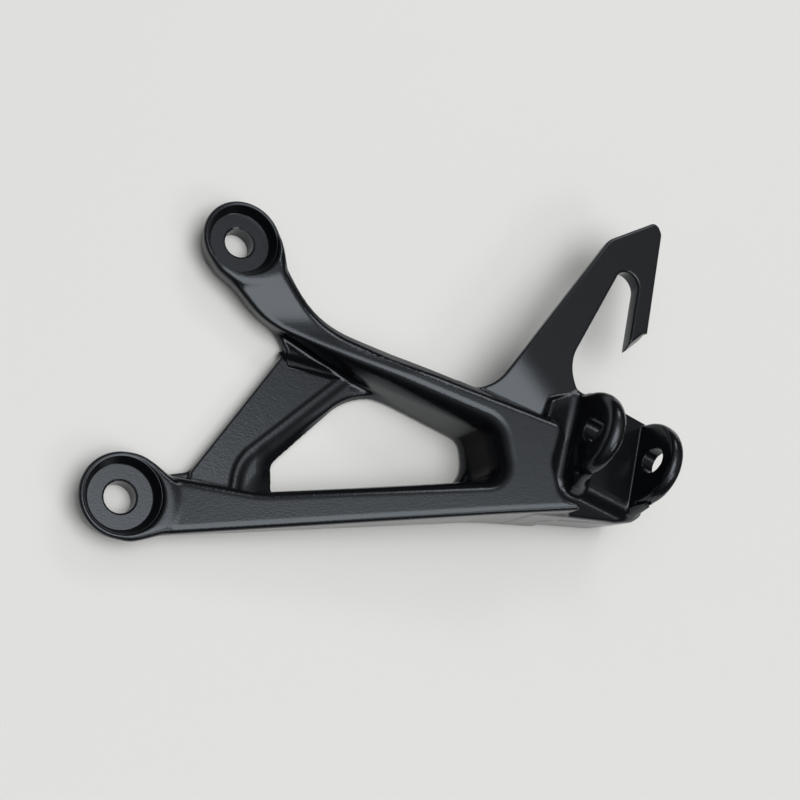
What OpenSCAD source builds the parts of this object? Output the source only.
// Motorcycle footrest hanger, one die casting in black painted aluminium.
// It lies on the back faces of its two mounting eyes, in the plane z = 0.
// The origin is on the axis of the lower eye, +X runs along the lower arm,
// +Y points to the upper eye and +Z is the outward side, away from the frame.

/* [Mounting eyes] */
// Diameter of the bolt hole in each eye
eye_bore_d = 9; // [7:0.5:11]
// Diameter of the machined seat under the bolt head
eye_seat_d = 18.6; // [16:0.2:19]
// Diameter of the counterbore at its mouth
eye_mouth_d = 21.2; // [20:0.2:22]
// Outside diameter of each eye at its front
eye_boss_d = 25; // [24.5:0.5:28]
// Outside diameter of each eye at its back face
eye_back_d = 20.5; // [18:0.5:24]
// Thickness of each eye
eye_thick = 9; // [8:0.5:12]
// Height of the seat above the back face
eye_seat_z = 5.5; // [4:0.5:6.5]
// Distance of the upper eye from the lower one along X
upper_eye_x = 41.5; // [38:0.5:45]
// Distance of the upper eye from the lower one along Y
upper_eye_y = 76; // [72:0.5:80]

/* [Arms] */
// Distance of the lower arm's lower edge from the eye axis
arm_low_edge = 11.4; // [10.5:0.1:12]
// Width of the lower arm at the window
arm_low_w = 9.4; // [7:0.2:11]
// Width of the upper arm at the window
arm_up_w = 7.8; // [7:0.2:10]
// Slope angle of the upper arm
arm_up_angle = 26; // [24:0.5:28]
// Radius of the upper arm's outer sweep
sweep_r = 36; // [30:1:40]
// Width of the broad bevel along the upper arm's outer edge
ridge_bevel = 3.6; // [2:0.2:4]
// Width of the narrow bevel on the other front edges
edge_bevel = 1.2; // [0.6:0.1:1.6]
// Draft that widens the walls towards the back
wall_flare = 0.8; // [0.4:0.1:1.2]
// How far the arms' outer walls tuck in below their middle
wall_tuck = 1.2; // [0.2:0.1:1.6]

/* [Front face] */
// Height of the front plane over the lower eye
face_z = 7.6; // [6.5:0.1:8]
// Rise of the front plane per millimetre along X
face_rise = 0.15; // [0.13:0.005:0.17]
// Fall of the front plane per millimetre along Y
face_fall = 0.08; // [0.06:0.005:0.1]

/* [Window and brace] */
// Right end of the window
window_end = 114; // [108:1:116]
// Corner radius at the right end of the window
window_r = 8; // [5:0.5:8]
// Thickness of the brace between the arms
brace_t = 5; // [4.5:0.5:7]
// Thickness of the web that carries the brace and rims the window
web_t = 3.6; // [3:0.2:4.2]
// Slope width of the web towards the window, under the brace
web_flank = 4.6; // [3:0.2:5]
// Slope width of the web's rim round the rest of the window
web_rim = 1.2; // [0.6:0.1:1.6]
// Width of the bevel along the brace's edges
brace_bevel = 1.5; // [0.8:0.1:2]
// Place where the brace's left edge leaves the lower arm
brace_foot = 21.5; // [19:0.5:24]

/* [Clevis] */
// Place of the pin axis at the outside of the inner ear, along X
pin_x = 140.7; // [138:0.5:144]
// Place of the pin axis at the outside of the inner ear, along Y
pin_y = 12.7; // [11:0.5:14]
// Height of the pin axis there
pin_z = 32; // [30:0.5:34]
// Turn of the pin axis in the plan
pin_turn = 21; // [18:1:24]
// Dip of the pin axis towards the back
pin_dip = 10; // [6:1:12]
// Diameter of the pin bore
pin_bore_d = 8.5; // [6:0.5:10]
// Thickness of the inner ear
ear_t = 6; // [5:0.5:8]
// Thickness of the outer ear
outer_ear_t = 4.5; // [4:0.5:6]
// Width of the slot between the ears
slot_w = 20; // [16:0.5:24]
// Radius of the ears' round ends
ear_r = 13.8; // [12:0.2:15]
// Height of the pin axis over the slot's floor
pin_over_floor = 7; // [6:0.5:9]
// Distance of the pin axis beyond the centre of the round end
pin_offset = 4.5; // [2:0.5:5]
// Reach of the ears' feet beyond the pin axis, towards the lower edge
ear_foot = 17; // [15:0.5:18]
// Depth of the groove between the body and the inner ear, below the pin axis
groove_depth = 10.5; // [9.5:0.5:12]
// Rounding of the ears' edges
ear_bevel = 1.2; // [0.5:0.1:2]

/* [Hook] */
// Thickness of the hook's blade
hook_t = 6.5; // [5:0.5:8]
// Height of the hook's front face
hook_z = 22; // [20:0.5:23]
// Radius of the hook's slot at its round end
hook_slot_r = 4.3; // [3:0.1:5]
// Height of the hook's peak over the eye axis
hook_top = 87; // [80:1:90]
// Bevel on the hook's edges
hook_bevel = 0.6; // [0.4:0.1:1.2]
// Slope of the hook's tip, which is longer at its back
tip_slope = 22; // [0:2:30]
// Rise of the hook's root per millimetre along X
root_rise = 0.18; // [0.1:0.02:0.24]

/* [Hidden] */
$fn = 60;
// Largest turn of one facet along a rounded corner, in degrees
facet_turn = 12;
// Chamfer of the back edges
back_bevel = 0.8;
// The machined eyes and the clevis stand this far proud of the arms' back, and the arms of the web's
back_step = 0.5;
// Overlap that sinks one form into the next
sink = 3;
// Edge of the cutting blocks, which reach past the casting
reach = 120;

// Height of the front plane over a point
function face_at(p) = face_z + face_rise * p[0] - face_fall * p[1];

function unit(v) = v / norm(v);
function outward(d) = [d[1], -d[0]];
function turned(v, a) = [v[0] * cos(a) - v[1] * sin(a), v[0] * sin(a) + v[1] * cos(a)];
function turn_between(a, b) = atan2(a[0] * b[1] - a[1] * b[0], a * b);

// Points of an outline whose corners are rounded. A corner is [x, y, radius, width a, b, c],
// and each point that comes back is [x, y, normal x, normal y, width a, b, c].
function corner_points(before, corner, after) =
    let (
        at = [corner[0], corner[1]],
        d0 = unit(at - [before[0], before[1]]),
        d1 = unit([after[0], after[1]] - at),
        turn = turn_between(d0, d1),
        side = sign(turn),
        r = corner[2],
        n0 = outward(d0),
        start = at - d0 * r * tan(abs(turn) / 2),
        centre = start - side * r * n0,
        steps = ceil(max(0, abs(turn) - 0.5) / facet_turn)
    )
    [
        for (k = [0:steps])
            let (n = turned(n0, turn * k / max(1, steps)), p = centre + side * r * n)
            [p[0], p[1], n[0], n[1], corner[3], corner[4], len(corner) > 5 ? corner[5] : 0]
    ];

function rounded_outline(corners) =
    let (count = len(corners))
    [
        for (i = [0:count - 1])
            each corner_points(corners[(i + count - 1) % count], corners[i], corners[(i + 1) % count])
    ];

// A closed solid through rings that all have the same number of points, from the back to the front
module ring_loft(rings) {
    count = len(rings[0]);
    levels = len(rings);
    polyhedron(
        points = [for (ring = rings) each ring],
        faces = concat(
            [[for (i = [0:count - 1]) i]],
            [[for (i = [count - 1:-1:0]) (levels - 1) * count + i]],
            [
                for (k = [0:levels - 2], i = [0:count - 1], half = [0, 1])
                    let (
                        j = (i + 1) % count,
                        a = k * count + i,
                        b = k * count + j,
                        c = (k + 1) * count + j,
                        d = (k + 1) * count + i
                    )
                    half == 0 ? [a, d, c] : [a, c, b]
            ]
        ),
        convexity = 8
    );
}

// A point of an outline moved inwards by a distance
function moved(p, distance) = [p[0] - distance * p[2], p[1] - distance * p[3]];
function lifted(p, z) = [p[0], p[1], z];

// The arms: one V of constant draft under the sloping front plane
// The upper arm's inner edge passes below the eye, and its outer edge lies one arm width away
inner_bend = [upper_eye_x + 5.1, upper_eye_y - 26];
ridge_start = [59.6, 52.2];
window_top_y = inner_bend[1] - (window_end - inner_bend[0]) * tan(arm_up_angle);
arm_low_top = arm_low_w - arm_low_edge;
body_end = window_end + 15;
ridge_end_x = body_end + 7;
ridge_end_y = inner_bend[1] - (ridge_end_x - inner_bend[0]) * tan(arm_up_angle) + arm_up_w / cos(arm_up_angle);
ridge_bend_x = ridge_start[0];
ridge_bend_y = ridge_end_y + (ridge_end_x - ridge_bend_x) * tan(arm_up_angle);

v_corners = [
    // x, y, corner radius, front bevel, flare, tuck
    [0, -arm_low_edge, 2, edge_bevel, 0, wall_tuck],
    [body_end - 20, -arm_low_edge, 40, edge_bevel, 0, wall_tuck / 2],
    [body_end + 12, -arm_low_edge - 0.4, 1.35, edge_bevel, 0],
    [body_end + 0.5, -arm_low_edge + 4, 5, edge_bevel, 0],
    [body_end, 4, 9, edge_bevel, 0],
    [ridge_end_x, ridge_end_y, 3.8, edge_bevel * 1.5, 0],
    [ridge_bend_x + 25, ridge_bend_y - 25 * tan(arm_up_angle), 200, ridge_bevel, 0, wall_tuck],
    [ridge_bend_x, ridge_bend_y, sweep_r, ridge_bevel * 0.8, 0, wall_tuck],
    [upper_eye_x + 10.4, upper_eye_y + 0.5, 4.2, ridge_bevel / 2, 0, 2 * wall_tuck],
    [upper_eye_x, upper_eye_y + 3, 5, edge_bevel, 0, 2 * wall_tuck],
    [upper_eye_x - 8.3, upper_eye_y - 8.6, 2.5, edge_bevel, 0, wall_tuck],
    [inner_bend[0], inner_bend[1], 30, edge_bevel, 0, wall_tuck / 2],
    [inner_bend[0] + 26, inner_bend[1] - 26 * tan(arm_up_angle), 200, edge_bevel, wall_flare],
    [window_end, window_top_y, window_r, edge_bevel, wall_flare],
    [window_end, arm_low_top - 0.6, window_r, edge_bevel, wall_flare],
    [37, arm_low_top + 1.2, 30, edge_bevel * 1.4, wall_flare / 2],
    [13.5, 5.4, 12, edge_bevel * 1.6, 0, wall_tuck / 2],
    [2, 11, 3, edge_bevel, 0, wall_tuck]
];

module arms() {
    outline = rounded_outline(v_corners);
    ring_loft([
        [for (p = outline) lifted(moved(p, back_bevel + p[6] - p[5]), back_step)],
        [for (p = outline) lifted(moved(p, p[6] * 0.8 - p[5]), back_step + back_bevel)],
        [for (p = outline) lifted(moved(p, -p[5] / 2), 0.55 * face_at(p))],
        [for (p = outline) lifted(moved(p, 0), face_at(p) - 0.75 * p[4])],
        [for (p = outline) let (q = moved(p, p[4])) lifted(q, face_at(q))]
    ]);
}

// The web between the arms: a thin plate with the window through it
web_corners = [
    // x, y, corner radius
    [14, 6.4, 2],
    [8, -4, 2],
    [13, -9.4, 2],
    [body_end - 6, -9, 2],
    [body_end - 6, 14, 2],
    [58, 51, 2],
    [50, 53, 1],
    [54.6, 42.8, 3],
    [brace_foot + 0.3, 7.2, 8]
];

// The window's edge at the web's back face, and the width of its slope
window_corners = [
    // x, y, corner radius, slope width
    [window_end - 2.8, arm_low_top + 1.8, 12, web_rim],
    [window_end - 2.6, 17, 3.6, web_rim],
    [77.3, 32.6, 22, web_rim],
    [46.8, 8.9, 4, web_flank],
    [46.8, arm_low_top + 1.8, 2.4, web_flank]
];

// The brace proper: a raised pad on the web, which ends in a sharp tip under the upper arm
pad_corners = [
    // x, y, corner radius, bevel
    [brace_foot - 0.4, 7.2, 0.5, 0],
    [brace_foot - 4, -3, 0.5, 0],
    [31, -3, 0.5, brace_bevel],
    [35.6, 8, 3, brace_bevel],
    [76.6, 35.9, 0.8, brace_bevel],
    [53.2, 41.5, 0.4, brace_bevel],
    [51.7, 40.9, 0.4, 0]
];

module web() {
    outline = rounded_outline(web_corners);
    hole = rounded_outline(window_corners);
    pad = rounded_outline(pad_corners);
    pad_z = 2 * back_step + 0.6;
    lip_z = 2 * back_step + 0.3;
    difference() {
        union() {
            ring_loft([
                [for (p = outline) lifted(moved(p, 0.4), 2 * back_step)],
                [for (p = outline) lifted(moved(p, 0), 2 * back_step + 0.4)],
                [for (p = outline) lifted(moved(p, 0), web_t - 0.4)],
                [for (p = outline) lifted(moved(p, 0.4), web_t)]
            ]);
            ring_loft([
                [for (p = pad) lifted(moved(p, -p[4] * (web_t - pad_z) / (brace_t - web_t)), pad_z)],
                [for (p = pad) lifted(moved(p, p[4]), brace_t)]
            ]);
        }
        ring_loft([
            [for (p = hole) lifted(moved(p, 0), -1)],
            [for (p = hole) lifted(moved(p, 0), lip_z)],
            [for (p = hole) lifted(moved(p, -1.05 * p[4]), lip_z + 1.05 * (web_t - lip_z))],
            [for (p = hole) lifted(moved(p, -1.1 * p[4]), brace_t + 1)]
        ]);
    }
}

// One mounting eye, a turned boss with chamfered edges
module eye_boss() {
    r = eye_boss_d / 2;
    rotate_extrude()
        polygon([
            [0, 0],
            [eye_back_d / 2 - back_bevel, 0],
            [eye_back_d / 2, back_bevel],
            [r, eye_thick - edge_bevel],
            [r - edge_bevel, eye_thick],
            [0, eye_thick]
        ]);
}

// The counterbore and the bolt hole of one eye, clear of everything above them
module eye_cut() {
    mouth_r = eye_mouth_d / 2;
    rotate_extrude()
        polygon([
            [0, -1],
            [eye_bore_d / 2, -1],
            [eye_bore_d / 2, eye_seat_z],
            [eye_seat_d / 2, eye_seat_z],
            [mouth_r, eye_thick],
            [mouth_r + 3, eye_thick + 6],
            [0, eye_thick + 6]
        ]);
}

// The clevis stands in its own frame: x along the pin axis, z away from the floor
module at_clevis() {
    translate([pin_x, pin_y, pin_z])
        rotate([0, pin_dip, -pin_turn])
            children();
}

clevis_len = ear_t + slot_w + outer_ear_t;
// The base reaches this far past the ears
base_lip = 0.7;
pin_dir = [cos(pin_turn) * cos(pin_dip), -sin(pin_turn) * cos(pin_dip), -sin(pin_dip)];
across = [sin(pin_turn), cos(pin_turn)];
function plan(along, side) = [
    pin_x + pin_dir[0] * along + across[0] * side,
    pin_y + pin_dir[1] * along + across[1] * side
];
far_low = plan(clevis_len + base_lip, -ear_foot);
far_high = plan(clevis_len + base_lip, ear_r + base_lip);
near_high = plan(0, ear_r + base_lip);

base_corners = [
    // x, y, corner radius
    [body_end - 8, -arm_low_edge + 0.2, 1],
    [far_low[0] - 8, far_low[1] - 0.4, 8],
    [far_low[0], far_low[1], 2.5],
    [far_high[0], far_high[1], 3],
    [near_high[0], near_high[1], 4],
    [body_end + 4, near_high[1] - 2, 3],
    [body_end - 8, 12, 1]
];

module clevis_base() {
    outline = rounded_outline(base_corners);
    difference() {
        ring_loft([
            [for (p = outline) lifted(moved(p, back_bevel), 0)],
            [for (p = outline) lifted(moved(p, 0), back_bevel)],
            [for (p = outline) lifted(moved(p, 0), pin_z + 4)]
        ]);
        at_clevis() {
            translate([ear_t / 2, -reach / 2, -pin_over_floor])
                cube(reach);
            translate([ear_t / 2 + 0.01 - reach, -reach / 2, -groove_depth])
                cube(reach);
        }
    }
}

ear_corners = [
    // y, z, corner radius, bevel
    [-ear_foot, -groove_depth - sink, 0.5, ear_bevel],
    [ear_r, -groove_depth - sink, 0.5, ear_bevel],
    [ear_r, ear_r - pin_offset, ear_r - 0.01, ear_bevel],
    [-ear_r, ear_r - pin_offset, ear_r - 0.01, ear_bevel],
    [-ear_r, -pin_over_floor + 1.6, 0.6, ear_bevel],
    [-ear_foot, -pin_over_floor - 1, 1.2, ear_bevel]
];

// One ear of the clevis, standing on its edge
module ear(thick) {
    outline = rounded_outline(ear_corners);
    rotate([90, 0, 90])
        ring_loft([
            [for (p = outline) lifted(moved(p, p[4]), 0)],
            [for (p = outline) lifted(moved(p, 0), ear_bevel)],
            [for (p = outline) lifted(moved(p, 0), thick - ear_bevel)],
            [for (p = outline) lifted(moved(p, p[4]), thick)]
        ]);
}

module pin_cut() {
    at_clevis()
        translate([-2, 0, 0])
            rotate([0, 90, 0])
                cylinder(d = pin_bore_d, h = clevis_len + 4);
}

// The strap hook: a flat blade that rises from the body and turns back to a tip
hook_tip = [166, 39.6];
hook_heel = [174.8, 44.9];
// Where the blade leaves the upper arm
hook_root = [113, 27];
hook_corners = [
    // x, y, corner radius, bevel
    [104, 26.5, 1, 0],
    [body_end + 1, 10, 1, 0],
    [body_end + 13, 14, 1, 0],
    [145.5, 24, 1, 0],
    [142.3, 35.6, 14, hook_bevel],
    [183.5, 87.2, hook_slot_r, hook_bevel],
    [hook_tip[0], hook_tip[1], 0.8, hook_bevel],
    [hook_heel[0], hook_heel[1], 2.4, hook_bevel],
    [188.3, 82.4, 3, hook_bevel],
    [187.1, hook_top, 2.4, hook_bevel],
    [165.8, 79.2, 9, hook_bevel],
    [hook_root[0], hook_root[1] + 0.2, 14, hook_bevel],
    [102, 31.6, 1, 0]
];

module hook() {
    outline = rounded_outline(hook_corners);
    end_turn = atan2(hook_heel[1] - hook_tip[1], hook_heel[0] - hook_tip[0]);
    difference() {
        ring_loft([
            [for (p = outline) lifted(moved(p, p[4]), hook_z - hook_t)],
            [for (p = outline) lifted(moved(p, 0), hook_z - hook_t + hook_bevel)],
            [for (p = outline) lifted(moved(p, 0), hook_z - hook_bevel)],
            [for (p = outline) lifted(moved(p, p[4]), hook_z)]
        ]);
        // The tip is cut back towards the front
        translate([hook_tip[0], hook_tip[1], hook_z - hook_t + 0.6])
            rotate([0, 0, end_turn])
                rotate([-tip_slope, 0, 0])
                    translate([-hook_t, -2 * hook_t, 0])
                        cube([5 * hook_t, 2 * hook_t, 3 * hook_t]);
        // The root slopes down to the foot of the ridge's bevel
        translate(lifted(hook_root, face_at(hook_root) - 0.75 * ridge_bevel))
            multmatrix([[1, 0, 0, 0], [0, 1, 0, 0], [root_rise, root_rise / 1.5, 1, 0], [0, 0, 0, 1]])
                translate([-reach / 3, -reach / 3, 0])
                    cube(reach);
    }
}

module at_eyes() {
    children();
    translate([upper_eye_x, upper_eye_y, 0])
        children();
}

// All cast forms as one body at its own size, before anything is machined
module casting() {
    resize([0, 0, 0])
        union() {
            arms();
            web();
            at_eyes()
                eye_boss();
            hook();
            clevis_base();
            at_clevis() {
                ear(ear_t);
                translate([ear_t + slot_w, 0, 0])
                    ear(outer_ear_t);
            }
        }
}

module hanger() {
    color([0.1, 0.1, 0.11])
        difference() {
            casting();
            at_eyes()
                eye_cut();
            pin_cut();
        }
}

hanger();
